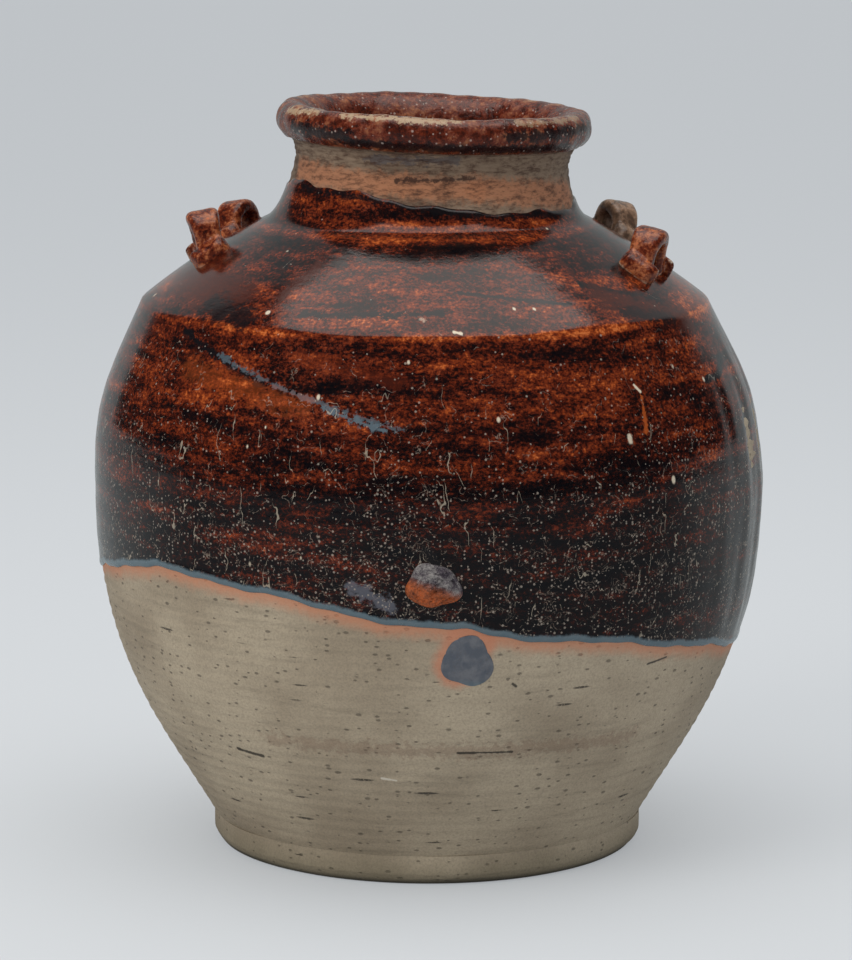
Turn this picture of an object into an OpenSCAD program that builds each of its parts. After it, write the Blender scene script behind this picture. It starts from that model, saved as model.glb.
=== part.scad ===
// Storage jar of stoneware: a low-shouldered body built up from luted sections of clay,
// a short waisted neck with a heavy rolled rim, and four strap lugs for a tied-down cover.
// A brown glaze coats it down to a slanting edge below the belly.
// Millimetres. +Z is up, the front is towards -Y, and the origin is at the middle of the foot.

/* [Foot and base] */
// Diameter of the upright foot band
foot_d = 214.6; // [196:0.2:232]
// Height of the foot band, where the wall starts
foot_h = 15; // [9:0.5:22]
// Bevel round the foot's lower edge
foot_bevel = 4.5; // [1:0.5:7]
// Depth of the hollow under the base
foot_hollow = 2.2; // [0.6:0.1:4]
// Width of the ring that the jar stands on
foot_ring_w = 13; // [8:1:24]
// Thickness of the base at its middle
base_t = 10.5; // [6:0.5:12]
// Thickness of the wall where it stands on the base
foot_wall_t = 13; // [9:0.5:18]

/* [Belly] */
// Diameter of the clay at its widest place
belly_d = 330.8; // [310:0.2:350]
// Height of the widest place
belly_z = 180; // [165:1:195]
// Thickness of the wall
wall_t = 9; // [6:0.5:12]
// Lean of the wall away from upright where it leaves the foot
foot_flare_angle = 30.4; // [20:0.2:40]
// Height of the seam in the lower belly
lower_seam_z = 98; // [80:1:120]
// How far each seam's inner edge lies above its outer edge, as a share of a curve
lute_share = 0.05; // [0.02:0.01:0.09]

/* [Shoulder] */
// Diameter of the ridge between belly and shoulder
ridge_d = 278.8; // [266:0.2:290]
// Height of the shoulder, from the ridge to the foot of the neck
shoulder_h = 39.7; // [32:0.1:48]
// Lean of the wall inwards below the ridge
ridge_lean_angle = 24.9; // [15:0.1:32]
// Diameter of the foot of the neck
neck_root_d = 158.8; // [150:0.2:168]
// Slope of the shoulder where it leaves the ridge
shoulder_low_angle = 40; // [34:1:46]
// Slope of the shoulder where it meets the neck
shoulder_high_angle = 25; // [18:1:32]

/* [Neck and rim] */
// Overall height, over the glaze on the rim
jar_h = 368; // [360:0.5:376]
// Diameter of the neck at its waist
waist_d = 135; // [131:0.5:140]
// Height of the neck, from its foot to the rolled rim
neck_h = 37.9; // [34:0.1:44]
// Drop from the rolled rim to the neck's waist
waist_drop = 8.9; // [5:0.1:14]
// Diameter of the straight throat
mouth_d = 117; // [108:0.5:121]
// Length of the straight throat
throat_h = 28; // [18:1:32]
// Height of the rolled rim above the neck
rim_h = 17.3; // [14:0.1:20]
// Diameter of the neck where the rim sits on it
rim_seat_d = 140; // [138:0.5:144]
// Diameter over the clay of the rim
rim_d = 154.1; // [148:0.1:160]
// Diameter of the rim's crest
crest_d = 142; // [136:0.5:146]
// Drop from the crest to the widest place of the rim
rim_edge_drop = 8; // [5:0.5:10]

/* [Lugs] */
// Width of a lug's arch, over both legs
lug_w = 24; // [20:0.5:30]
// Thickness of the strap
strap_t = 6.5; // [4:0.5:8]
// Width of the strap over the crown
strap_w = 15.5; // [12:0.5:19]
// Width of the strap at its waist
strap_waist_w = 12.5; // [10:0.5:16]
// Rounding of the strap's long edges
strap_r = 2.4; // [1:0.2:2.8]
// Lean of the arch away from upright
lug_lean_angle = 12; // [0:1:25]
// Depth of a lug's root below the shoulder's surface at its middle, before it is seated
lug_root = 11; // [8:0.5:16]
// Length of a wad, away from its leg
wad_l = 6.5; // [4:0.5:10]
// Width of a wad, across the strap
wad_w = 19; // [15:0.5:22]
// Height of a wad above the shoulder
wad_h = 8; // [5:0.5:11]
// Rounding of a wad's edges
wad_r = 2.8; // [1.5:0.1:3.5]

/* [Places of the lugs] */
// Azimuth of the front left lug, from the front
front_left_azimuth = -82; // [-95:1:-60]
// Azimuth of the front right lug, from the front
front_right_azimuth = 70; // [55:1:90]
// Azimuth of the rear left lug, from the front
rear_left_azimuth = -121; // [-150:1:-112]
// Azimuth of the rear right lug, from the front
rear_right_azimuth = 120; // [105:1:150]
// Diameter of the circle through the middle of the front left lug
front_left_circle_d = 214; // [200:1:236]
// Diameter of the circle through the middle of the front right lug
front_right_circle_d = 226; // [200:1:236]
// Diameter of the circle through the middles of the rear lugs
rear_circle_d = 218; // [200:1:236]
// Rise of the front left lug above the shoulder
front_left_rise = 22.5; // [18:0.5:28]
// Rise of the front right lug above the shoulder
front_right_rise = 20.5; // [18:0.5:28]
// Rise of the rear lugs above the shoulder
rear_rise = 20.5; // [18:0.5:28]

/* [Glaze and kiln marks] */
// Thickness of the glaze
glaze_t = 0.8; // [0.5:0.1:1.5]
// Mean height of the glaze's lower edge
glaze_edge_z = 123; // [112:1:135]
// Slant of the glaze's lower edge
glaze_tilt_angle = 9.5; // [0:0.5:12]
// Azimuth at which the lower edge is highest
glaze_high_azimuth = -47; // [-180:1:180]
// Height of the glaze's upper edge above the foot of the neck
neck_glaze_h = 16; // [8:1:22]
// Clearance between the glaze and what stands in it
glaze_gap = 0.3; // [0.1:0.1:0.6]
// Azimuth of the splash of glaze on the clay
patch_azimuth = 6.5; // [-20:0.5:20]
// Drop from the glaze's edge to the middle of the splash
patch_drop = 15.5; // [15:0.5:24]
// Width of the splash
patch_w = 24; // [16:1:28]
// Height of the splash
patch_h = 26; // [18:1:28]
// Azimuth of the lump of kiln clay
lump_azimuth = 1; // [-20:0.5:20]
// Rise from the glaze's edge to the middle of the lump
lump_rise = 19; // [16:1:40]
// Width of the lump
lump_w = 25; // [16:1:30]
// Height of the lump
lump_h = 22; // [14:1:28]
// How far the lump stands out
lump_t = 6.5; // [4:0.5:9]

/* [Hidden] */
CLAY = "#8e8373";
BROWN = "#4a1c0e";
DARK_BROWN = "#2c140c";
SLATE = "#4c535b";
ORANGE = "#a8582a";

// Places along the outline, from the foot up and over the rim into the mouth
foot_index = 0;
belly_index = 1;
ridge_index = 2;
neck_root_index = 3;
waist_index = 4;
neck_top_index = 5;
rim_edge_index = 6;
crest_index = 7;
throat_top_index = 8;

// Straight steps that stand in for one curve of the outline
curve_step_count = 8;
// Facets round the jar, fine enough for a piece to seat on
round_facet_count = 240;
// Room for tools that cut right through
beyond = 20;

crest_z = jar_h - glaze_t;
neck_top_z = crest_z - rim_h;
throat_low_z = neck_top_z - throat_h;
waist_z = neck_top_z - waist_drop;
neck_root_z = neck_top_z - neck_h;
ridge_z = neck_root_z - shoulder_h;
foot_r = foot_d / 2;
belly_r = belly_d / 2;
mouth_r = mouth_d / 2;
foot_edge = [foot_r, foot_h];
belly_edge = [belly_r, belly_z];
ridge = [ridge_d / 2, ridge_z];
neck_root = [neck_root_d / 2, neck_root_z];
waist = [waist_d / 2, waist_z];
neck_top = [rim_seat_d / 2, neck_top_z];
rim_edge = [rim_d / 2, crest_z - rim_edge_drop];
crest = [crest_d / 2, crest_z];
throat_top = [mouth_r, neck_top_z];

// A heading is the angle from straight up, positive towards the axis
upward_angle = 0;
inward_angle = 90;
downward_angle = 180;
ridge_heading = inward_angle - shoulder_low_angle;
neck_root_heading = inward_angle - shoulder_high_angle;
neck_low_angle = neck_root_heading - 3;
neck_flare_angle = -25;
rim_under_angle = -58;

function along(heading) = [-sin(heading), cos(heading)];
function outwards(heading) = [cos(heading), sin(heading)];

// A curve leaves a at one heading and reaches b at another. A pull is the length of a handle,
// as a share of the distance from a to b.
function curve(a, heading_a, pull_a, b, heading_b, pull_b) =
    let (span = norm(b - a))
    [a, a + pull_a * span * along(heading_a), b - pull_b * span * along(heading_b), b];
function on_curve(c, t) =
    pow(1 - t, 3) * c[0] + 3 * t * pow(1 - t, 2) * c[1] + 3 * t * t * (1 - t) * c[2] + pow(t, 3) * c[3];
function slope_of(c, t) =
    pow(1 - t, 2) * (c[1] - c[0]) + 2 * t * (1 - t) * (c[2] - c[1]) + t * t * (c[3] - c[2]);
function normal_of(c, t) =
    let (s = slope_of(c, t))
    [s[1], -s[0]] / norm(s);
// The corner of two offset lines whose unit normals are m and n
function mitre(m, n) = (m + n) / (1 + m * n);

outer_curves = [
    curve(foot_edge, -foot_flare_angle, 0.33, belly_edge, upward_angle, 0.48),
    curve(belly_edge, upward_angle, 0.47, ridge, ridge_lean_angle, 0.4),
    curve(ridge, ridge_heading, 0.2, neck_root, neck_root_heading, 0.24),
    curve(neck_root, neck_low_angle, 0.3, waist, upward_angle, 0.1),
    curve(waist, upward_angle, 0.35, neck_top, neck_flare_angle, 0.35),
    curve(neck_top, rim_under_angle, 0.4, rim_edge, upward_angle, 0.35),
    curve(rim_edge, upward_angle, 0.45, crest, inward_angle, 0.35),
    curve(crest, inward_angle, 0.3, throat_top, downward_angle, 0.45),
];

inner_foot = foot_edge - [foot_wall_t, 0];
inner_belly = belly_edge - [wall_t, 0];
inner_ridge = ridge - wall_t * mitre(outwards(ridge_lean_angle), outwards(ridge_heading));
inner_neck_root = neck_root - wall_t * outwards(neck_root_heading);
throat_low = [mouth_r, throat_low_z];

inner_curves = [
    curve(inner_foot, -foot_flare_angle - 4, 0.33, inner_belly, upward_angle, 0.48),
    curve(inner_belly, upward_angle, 0.47, inner_ridge, ridge_lean_angle, 0.35),
    curve(inner_ridge, ridge_heading, 0.2, inner_neck_root, neck_root_heading, 0.24),
    curve(inner_neck_root, neck_root_heading, 0.3, throat_low, upward_angle, 0.3),
    curve(throat_low, upward_angle, 0.33, throat_top, upward_angle, 0.33),
];

// The point at a place s of a chain of curves
function chain(curves, s) =
    let (k = min(floor(s), len(curves) - 1))
    on_curve(curves[k], s - k);
function outer(s) = chain(outer_curves, s);
function inner(s) = chain(inner_curves, s);
function is_corner(s) = s > 0 && s < len(outer_curves) && abs(s - round(s)) < 0.0001;
function outer_normal(s) =
    is_corner(s)
        ? mitre(normal_of(outer_curves[round(s) - 1], 1), normal_of(outer_curves[round(s)], 0))
        : let (k = min(floor(s), len(outer_curves) - 1)) normal_of(outer_curves[k], s - k);

// Places from s0 to s1, with every corner of the outline and curve_step_count to a curve
function places(s0, s1) =
    let (
        near = 0.001,
        first = floor(s0 * curve_step_count + near) + 1,
        last = ceil(s1 * curve_step_count - near) - 1
    )
    concat([s0], [for (k = [first : last]) k / curve_step_count], [s1]);
function reversed(list) = [for (k = [len(list) - 1 : -1 : 0]) list[k]];
function outer_run(s0, s1) = [for (s = places(s0, s1)) outer(s)];
function inner_run(s0, s1) = [for (s = places(s0, s1)) inner(s)];
function glazed_run(s0, s1) = [for (s = places(s0, s1)) outer(s) + glaze_t * outer_normal(s)];

// The place between lo and hi where the outline is at height z
function place_at_height(z, lo, hi, tries = 24) =
    let (mid = (lo + hi) / 2)
    tries == 0 ? mid
        : outer(mid)[1] < z ? place_at_height(z, mid, hi, tries - 1)
        : place_at_height(z, lo, mid, tries - 1);
// The place on the shoulder where the outline is at radius r
function place_at_radius(r, lo = ridge_index, hi = neck_root_index, tries = 24) =
    let (mid = (lo + hi) / 2)
    tries == 0 ? mid
        : outer(mid)[0] > r ? place_at_radius(r, mid, hi, tries - 1)
        : place_at_radius(r, lo, mid, tries - 1);

lower_seam = place_at_height(lower_seam_z, foot_index, belly_index);
neck_glaze = place_at_height(neck_root_z + neck_glaze_h, neck_root_index, waist_index);

// Height of the glaze's lower edge on the belly, at an azimuth
function glaze_edge(azimuth) =
    glaze_edge_z + belly_r * tan(glaze_tilt_angle) * cos(azimuth - glaze_high_azimuth);

// One section of the wall. Its outer face runs from s0 to s1, and its seams slope up inwards.
module wall_section(s0, s1, lute0 = lute_share, lute1 = lute_share) {
    color(CLAY)
        rotate_extrude($fn = round_facet_count)
            polygon(concat(outer_run(s0, s1), reversed(inner_run(s0 + lute0, s1 + lute1))));
}

// A coat of glaze on the outline from s0 to s1
module coat(s0, s1) {
    rotate_extrude($fn = round_facet_count)
        polygon(concat(glazed_run(s0, s1), reversed(outer_run(s0, s1))));
}

// The jar as if it were solid from s0 to s1, to seat what is pressed on it
module core(run) {
    top = run[len(run) - 1];
    rotate_extrude($fn = round_facet_count)
        polygon(concat([[0, run[0][1]]], run, [[0, top[1]]]));
}

// Moves a piece to a place on the outline, with its Y outwards and its Z up and tipped out by lean
module at_place(azimuth, point, lean) {
    rotate([0, 0, azimuth + 180])
        translate([0, point[0], point[1]])
            rotate([-lean, 0, 0])
                children();
}

module base_disc() {
    ring_inner_r = foot_r - foot_bevel - foot_ring_w;
    color(CLAY)
        rotate_extrude($fn = round_facet_count)
            polygon([
                [0, foot_hollow],
                [ring_inner_r - foot_hollow, foot_hollow],
                [ring_inner_r, 0],
                [foot_r - foot_bevel, 0],
                [foot_r, foot_bevel],
                foot_edge,
                inner_foot,
                [0, base_t],
            ]);
}

module lower_wall() {
    wall_section(foot_index, lower_seam, lute0 = 0);
}

module belly_wall() {
    wall_section(lower_seam, belly_index);
}

module upper_wall() {
    wall_section(belly_index, ridge_index);
}

module shoulder() {
    wall_section(ridge_index, neck_root_index);
}

module neck() {
    wall_section(neck_root_index, neck_top_index, lute1 = 0);
}

module rim_roll() {
    color(CLAY)
        rotate_extrude($fn = round_facet_count)
            polygon(outer_run(neck_top_index, throat_top_index));
}

// A skin through rings of points, closed at both ends
module skin(rings) {
    n = len(rings[0]);
    last = len(rings) - 1;
    sides = [
        for (i = [0 : last - 1], j = [0 : n - 1])
            let (a = i * n + j, b = i * n + (j + 1) % n)
            each [[a, b, b + n], [a, b + n, a + n]],
    ];
    ends = [
        for (j = [1 : n - 2])
            each [[0, j + 1, j], [last * n, last * n + j, last * n + j + 1]],
    ];
    polyhedron([for (ring = rings) each ring], concat(sides, ends), convexity = 4);
}

// Corners of a rounded rectangle, w by t, four points to a corner
function strap_section(w, t) = [
    for (corner = [0 : 3], k = [0 : 3])
        let (
            turn = 90 * corner + 30 * k,
            sx = corner == 0 || corner == 3 ? 1 : -1,
            sy = corner < 2 ? 1 : -1
        )
        [sx * (w / 2 - strap_r) + strap_r * cos(turn), sy * (t / 2 - strap_r) + strap_r * sin(turn)],
];

// Width of the strap, from its root at u = 0 to its crown at u = 1
function strap_width(u) =
    let (narrowest = 0.5)
    strap_waist_w + (strap_w - strap_waist_w) * pow((u - narrowest) / (1 - narrowest), 2);

// One ring of the strap. The arch lies in the XZ plane, and its outer side faces along turn,
// which is 0 on the left leg, 90 at the crown and 180 on the right leg.
function strap_ring(x, z, turn, u) = [
    for (p = strap_section(strap_width(u), strap_t))
        [x - p[1] * cos(turn), p[0], z + p[1] * sin(turn)],
];

// The strap: up one leg, round the arch and down the other
function strap_rings(rise) =
    let (
        arch_r = (lug_w - strap_t) / 2,
        leg_top = rise - lug_w / 2,
        leg_steps = 4,
        leg = [for (k = [0 : leg_steps - 1]) k / leg_steps],
        leg_share = 0.55
    )
    concat(
        [for (v = leg) strap_ring(-arch_r, -lug_root + v * (leg_top + lug_root), 0, leg_share * v)],
        [
            for (turn = [0 : 15 : 180])
                strap_ring(
                    -arch_r * cos(turn), leg_top + arch_r * sin(turn), turn,
                    leg_share + (1 - leg_share) * sin(turn)
                ),
        ],
        [for (v = reversed(leg)) strap_ring(arch_r, -lug_root + v * (leg_top + lug_root), 180, leg_share * v)]
    );

function lug_seat(circle_d) = outer(place_at_radius(circle_d / 2));
function shoulder_slope(circle_d) =
    let (n = outer_normal(place_at_radius(circle_d / 2)))
    atan2(n[0], n[1]);

module shoulder_core() {
    core(outer_run(ridge_index, neck_root_index));
}

module lug_strap(azimuth, circle_d, rise) {
    color(BROWN)
        difference() {
            at_place(azimuth, lug_seat(circle_d), lug_lean_angle) skin(strap_rings(rise));
            shoulder_core();
        }
}

// A wad of clay pressed against the outer side of one leg. side is -1 or 1 along the arch.
module wad(azimuth, circle_d, side) {
    leg_face = lug_w / 2;
    far = leg_face + wad_l - wad_r;
    half_w = wad_w / 2 - wad_r;
    color(DARK_BROWN)
        difference() {
            at_place(azimuth, lug_seat(circle_d), shoulder_slope(circle_d))
                intersection() {
                    hull() {
                        for (y = [-half_w, half_w]) {
                            translate([side * leg_face, y, wad_h - wad_r]) sphere(wad_r, $fn = 20);
                            translate([side * far, 0.8 * y, wad_h - 1.5 * wad_r]) sphere(wad_r, $fn = 20);
                            translate([side * leg_face, 1.1 * y, -wad_r]) sphere(wad_r, $fn = 20);
                            translate([side * (far + 1), 0.9 * y, -wad_r]) sphere(wad_r, $fn = 20);
                        }
                    }
                    translate([side > 0 ? leg_face : -leg_face - beyond, -wad_w, -beyond])
                        cube([beyond, 2 * wad_w, 2 * beyond]);
                }
            shoulder_core();
        }
}

function front_side(azimuth) = azimuth < 0 ? -1 : 1;

module front_left_lug_strap() {
    lug_strap(front_left_azimuth, front_left_circle_d, front_left_rise);
}

module front_left_lug_front_wad() {
    wad(front_left_azimuth, front_left_circle_d, front_side(front_left_azimuth));
}

module front_left_lug_rear_wad() {
    wad(front_left_azimuth, front_left_circle_d, -front_side(front_left_azimuth));
}

module front_right_lug_strap() {
    lug_strap(front_right_azimuth, front_right_circle_d, front_right_rise);
}

module front_right_lug_front_wad() {
    wad(front_right_azimuth, front_right_circle_d, front_side(front_right_azimuth));
}

module front_right_lug_rear_wad() {
    wad(front_right_azimuth, front_right_circle_d, -front_side(front_right_azimuth));
}

module rear_left_lug_strap() {
    lug_strap(rear_left_azimuth, rear_circle_d, rear_rise);
}

module rear_left_lug_front_wad() {
    wad(rear_left_azimuth, rear_circle_d, front_side(rear_left_azimuth));
}

module rear_left_lug_rear_wad() {
    wad(rear_left_azimuth, rear_circle_d, -front_side(rear_left_azimuth));
}

module rear_right_lug_strap() {
    lug_strap(rear_right_azimuth, rear_circle_d, rear_rise);
}

module rear_right_lug_front_wad() {
    wad(rear_right_azimuth, rear_circle_d, front_side(rear_right_azimuth));
}

module rear_right_lug_rear_wad() {
    wad(rear_right_azimuth, rear_circle_d, -front_side(rear_right_azimuth));
}

// Room in the glaze for the two feet of a lug, each a leg with its wad
module foot_rooms(azimuth, circle_d) {
    room_w = strap_t + wad_l + 1 + 2 * glaze_gap;
    for (side = [-1, 1])
        at_place(azimuth, lug_seat(circle_d), shoulder_slope(circle_d))
            translate([side * (lug_w / 2 - strap_t - glaze_gap + room_w / 2), 0, 0])
                cube([room_w, 1.1 * wad_w + 2 * glaze_gap, beyond], center = true);
}

// All that lies above the slanting lower edge
module above_glaze_edge() {
    size = 2 * belly_d;
    translate([0, 0, glaze_edge_z])
        rotate([0, 0, glaze_high_azimuth + 180])
            rotate([glaze_tilt_angle, 0, 0])
                translate([-size / 2, -size / 2, 0])
                    cube([size, size, size]);
}

module body_glaze() {
    color(BROWN)
        difference() {
            intersection() {
                coat(place_at_height(foot_h + wall_t, foot_index, belly_index), neck_glaze);
                above_glaze_edge();
            }
            foot_rooms(front_left_azimuth, front_left_circle_d);
            foot_rooms(front_right_azimuth, front_right_circle_d);
            foot_rooms(rear_left_azimuth, rear_circle_d);
            foot_rooms(rear_right_azimuth, rear_circle_d);
        }
}

module rim_glaze() {
    under = 0.3;
    inside = 0.2;
    color(DARK_BROWN)
        coat(neck_top_index + under, throat_top_index - inside);
}

module glaze_patch() {
    middle_z = glaze_edge(patch_azimuth) - patch_drop;
    middle = place_at_height(middle_z, foot_index, belly_index);
    color(SLATE)
        intersection() {
            coat(
                place_at_height(middle_z - patch_h, foot_index, belly_index),
                place_at_height(middle_z + patch_h, foot_index, belly_index)
            );
            at_place(patch_azimuth, outer(middle), 0)
                rotate([90, 0, 0])
                    linear_extrude(2 * beyond, center = true)
                        union() {
                            translate([-patch_w / 6, -patch_h / 5]) circle(patch_w / 3, $fn = 48);
                            translate([patch_w / 8, patch_h / 2 - patch_w / 3]) circle(patch_w / 3, $fn = 48);
                            translate([-patch_w / 4, patch_h / 6]) circle(patch_w / 5, $fn = 48);
                        }
        }
}

module kiln_lump() {
    middle_z = glaze_edge(lump_azimuth) + lump_rise;
    middle = place_at_height(middle_z, foot_index, belly_index);
    big = 0.4 * min(lump_w, lump_h);
    small = 0.28 * min(lump_w, lump_h);
    color(ORANGE)
        difference() {
            at_place(lump_azimuth, outer(middle), 0)
                hull() {
                    translate([0, lump_t - big, -lump_h / 2 + big]) sphere(big, $fn = 24);
                    translate([0, lump_t - small - 1, lump_h / 2 - small]) sphere(small, $fn = 20);
                    for (x = [-lump_w / 2 + small, lump_w / 2 - small])
                        translate([x, 0.6 * lump_t - small, 0.05 * x]) sphere(small, $fn = 20);
                }
            core(glazed_run(
                place_at_height(middle_z - 2 * lump_h, foot_index, belly_index),
                place_at_height(middle_z + 2 * lump_h, foot_index, ridge_index)
            ));
        }
}

base_disc();
lower_wall();
belly_wall();
upper_wall();
shoulder();
neck();
rim_roll();
front_left_lug_strap();
front_left_lug_front_wad();
front_left_lug_rear_wad();
front_right_lug_strap();
front_right_lug_front_wad();
front_right_lug_rear_wad();
rear_left_lug_strap();
rear_left_lug_front_wad();
rear_left_lug_rear_wad();
rear_right_lug_strap();
rear_right_lug_front_wad();
rear_right_lug_rear_wad();
body_glaze();
rim_glaze();
glaze_patch();
kiln_lump();
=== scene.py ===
"""Studio scene of a brown-glazed stoneware storage jar with four strap lugs.

The jar is turned in clay sections that are luted together. Lugs and wads of clay are pressed on
to the shoulder, and a coat of glass runs down to a slanting edge on the belly.
"""

from __future__ import annotations

import logging
import math
from dataclasses import dataclass
from dataclasses import field
from enum import Enum
from functools import reduce
from typing import Callable
from typing import Optional
from typing import Sequence
from typing import Union

import bpy
import numpy as np
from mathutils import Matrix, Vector
from mathutils import noise as lumps


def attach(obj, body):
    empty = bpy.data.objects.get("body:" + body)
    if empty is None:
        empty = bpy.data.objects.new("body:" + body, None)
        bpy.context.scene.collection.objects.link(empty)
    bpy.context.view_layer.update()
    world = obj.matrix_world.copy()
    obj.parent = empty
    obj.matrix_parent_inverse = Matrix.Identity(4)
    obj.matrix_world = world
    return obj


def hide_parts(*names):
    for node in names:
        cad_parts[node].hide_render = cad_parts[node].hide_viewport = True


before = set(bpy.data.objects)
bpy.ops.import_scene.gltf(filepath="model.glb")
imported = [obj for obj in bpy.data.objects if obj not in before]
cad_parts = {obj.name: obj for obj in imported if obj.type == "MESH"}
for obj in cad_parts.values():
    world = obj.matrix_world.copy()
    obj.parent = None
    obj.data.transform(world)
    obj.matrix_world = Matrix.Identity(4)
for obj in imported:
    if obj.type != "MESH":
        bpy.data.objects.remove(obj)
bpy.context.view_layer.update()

log = logging.getLogger("jar")
Array = np.ndarray
Material = bpy.types.Material
Object = bpy.types.Object
Tree = bpy.types.NodeTree
Socket = bpy.types.NodeSocket
Input = Union[float, Sequence[float], Socket]
Triple = tuple[float, float, float]
Knot = tuple[float, float, float, float]

MM = 0.001
GLAZE = 0.8  # the coat's thickness in mm
LUTE = 0.05  # how far a seam slopes up inwards, in place numbers
RIM_TILT = 2.2  # how far the rim tips down to the right, in degrees
RIM_DROP = 38.4  # the same in mm per metre
SMOOTH_ANGLE = math.radians(48)


class Place(float, Enum):
    """Places along the outline, from the foot up and over the rim into the mouth."""

    FOOT = 0.0
    BELLY = 1.0
    RIDGE = 2.0
    NECK_ROOT = 3.0
    WAIST = 4.0
    NECK_TOP = 5.0
    CREST = 7.0
    THROAT_TOP = 8.0


class Finish(str, Enum):
    """Material slots of the record."""

    CLAY = "clay"
    LUG = "lug_glaze"
    BODY = "body_glaze"
    RIM = "rim_glaze"
    SPLASH = "splash_glaze"
    KILN = "kiln_clay"


def bend(start: Knot, finish: Knot) -> Array:
    """One curved stretch of the outline.

    Args:
        start: Radius and height in mm, and heading and pull, where the stretch begins.
        finish: The same, where it ends.

    Returns:
        Four control points in mm.
    """
    first = np.array(start[:2], float)
    last = np.array(finish[:2], float)
    span = float(np.linalg.norm(last - first))
    handles = []
    for heading, pull in (start[2:], finish[2:]):
        turn = math.radians(heading)
        handles.append(pull * span * np.array([-math.sin(turn), math.cos(turn)]))
    return np.array([first, first + handles[0], last - handles[1], last])


@dataclass
class Outline:
    """A chain of bends that is read by its place number, and by its length along the wall."""

    bends: Sequence[Array]
    places: Array = field(init=False)
    points: Array = field(init=False)
    lengths: Array = field(init=False)

    def __post_init__(self) -> None:
        """Reads the chain once, finely, for the tables."""
        count = len(self.bends)
        self.places = np.linspace(0, count, count * 300 + 1)
        self.points = self.at(self.places)
        steps = np.linalg.norm(np.diff(self.points, axis=0), axis=1)
        self.lengths = np.concatenate([[0.0], np.cumsum(steps)])

    def at(self, place: Array) -> Array:
        """Reads the chain of curves.

        Args:
            place: Place numbers.

        Returns:
            Radius and height in mm at each of them.
        """
        place = np.asarray(place, float)
        index = np.clip(np.floor(place).astype(int), 0, len(self.bends) - 1)
        share = (place - index)[..., None]
        ctrl = np.array(self.bends)[index]
        rest = 1 - share
        parts = rest**3 * ctrl[..., 0, :] + 3 * share * rest**2 * ctrl[..., 1, :]
        return parts + 3 * share**2 * rest * ctrl[..., 2, :] + share**3 * ctrl[..., 3, :]

    def outwards(self, place: Array) -> Array:
        """Finds which way the wall faces.

        Args:
            place: Place numbers.

        Returns:
            The unit normal at each of them.
        """
        place = np.asarray(place, float)
        top = len(self.bends)
        slope = self.at(np.clip(place + 0.004, 0, top)) - self.at(np.clip(place - 0.004, 0, top))
        normal = np.stack([slope[..., 1], -slope[..., 0]], axis=-1)
        return normal / np.maximum(np.linalg.norm(normal, axis=-1, keepdims=True), 1e-9)

    def off(self, place: Array, distance: Array) -> Array:
        """Returns the points that stand off the wall by a distance in mm."""
        return self.at(place) + self.outwards(place) * distance[:, None]

    def length_at(self, place: Array) -> Array:
        """Returns the length along the wall in mm at each place number."""
        return np.interp(place, self.places, self.lengths)

    def place_at(self, length: Array) -> Array:
        """Returns the place number at each length along the wall."""
        return np.interp(length, self.lengths, self.places)

    def place_at_height(self, height: Array) -> Array:
        """Returns the place number below the ridge where the wall is at each height."""
        low = self.places <= Place.RIDGE.value
        return np.interp(height, self.points[low, 1], self.places[low])


OUTER = Outline(
    [
        bend((107.3, 15.0, -30.4, 0.33), (165.4, 180.0, 0.0, 0.48)),
        bend((165.4, 180.0, 0.0, 0.47), (139.4, 272.3, 24.9, 0.4)),
        bend((139.4, 272.3, 50.0, 0.2), (79.4, 312.0, 65.0, 0.24)),
        bend((79.4, 312.0, 62.0, 0.3), (67.5, 341.0, 0.0, 0.1)),
        bend((67.5, 341.0, 0.0, 0.35), (70.0, 349.9, -25.0, 0.35)),
        bend((70.0, 349.9, -58.0, 0.4), (77.05, 359.2, 0.0, 0.35)),
        bend((77.05, 359.2, 0.0, 0.45), (71.0, 367.2, 90.0, 0.35)),
        bend((71.0, 367.2, 90.0, 0.3), (58.5, 349.9, 180.0, 0.45)),
    ]
)
INNER = Outline(
    [
        bend((94.3, 15.0, -34.4, 0.33), (156.4, 180.0, 0.0, 0.48)),
        bend((156.4, 180.0, 0.0, 0.47), (132.2, 265.9, 24.9, 0.35)),
        bend((132.2, 265.9, 50.0, 0.2), (75.6, 303.8, 65.0, 0.24)),
        bend((75.6, 303.8, 65.0, 0.3), (58.5, 321.9, 0.0, 0.3)),
        bend((58.5, 321.9, 0.0, 0.33), (58.5, 349.9, 0.0, 0.33)),
    ]
)
# Azimuths are in degrees from the front, positive to the right, and heights in mm
LOW_EDGE = np.array(
    [(-180, 112), (-150, 119), (-120, 127.5), (-90, 136.5), (-69, 149), (-60, 153), (-52, 156.7),
     (-44, 156.7), (-33, 153.4), (-23, 149.4), (-14, 145), (-5, 140), (3, 137), (13, 133), (25, 129),
     (33, 125.5), (45, 120.6), (60, 112), (77, 104.6), (100, 102), (140, 106.5), (180, 112)]
)  # fmt: skip
TOP_EDGE = np.array(
    [(-180, 327), (-90, 330), (-63, 333), (-24, 330), (-13, 328), (16, 323), (63, 320), (110, 324),
     (180, 327)]
)  # fmt: skip
LEAN = np.array([(0, 0.5), (90, 0.9), (180, 1.5), (240, 0), (290, -1.3), (318, 0.5), (345, 3.2), (368, 4.4)])


def bell(value: Array, middle: Array, width: float) -> Array:
    """Returns a smooth hump that is 1 at its middle."""
    return np.exp(-(((value - middle) / width) ** 2))


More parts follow.
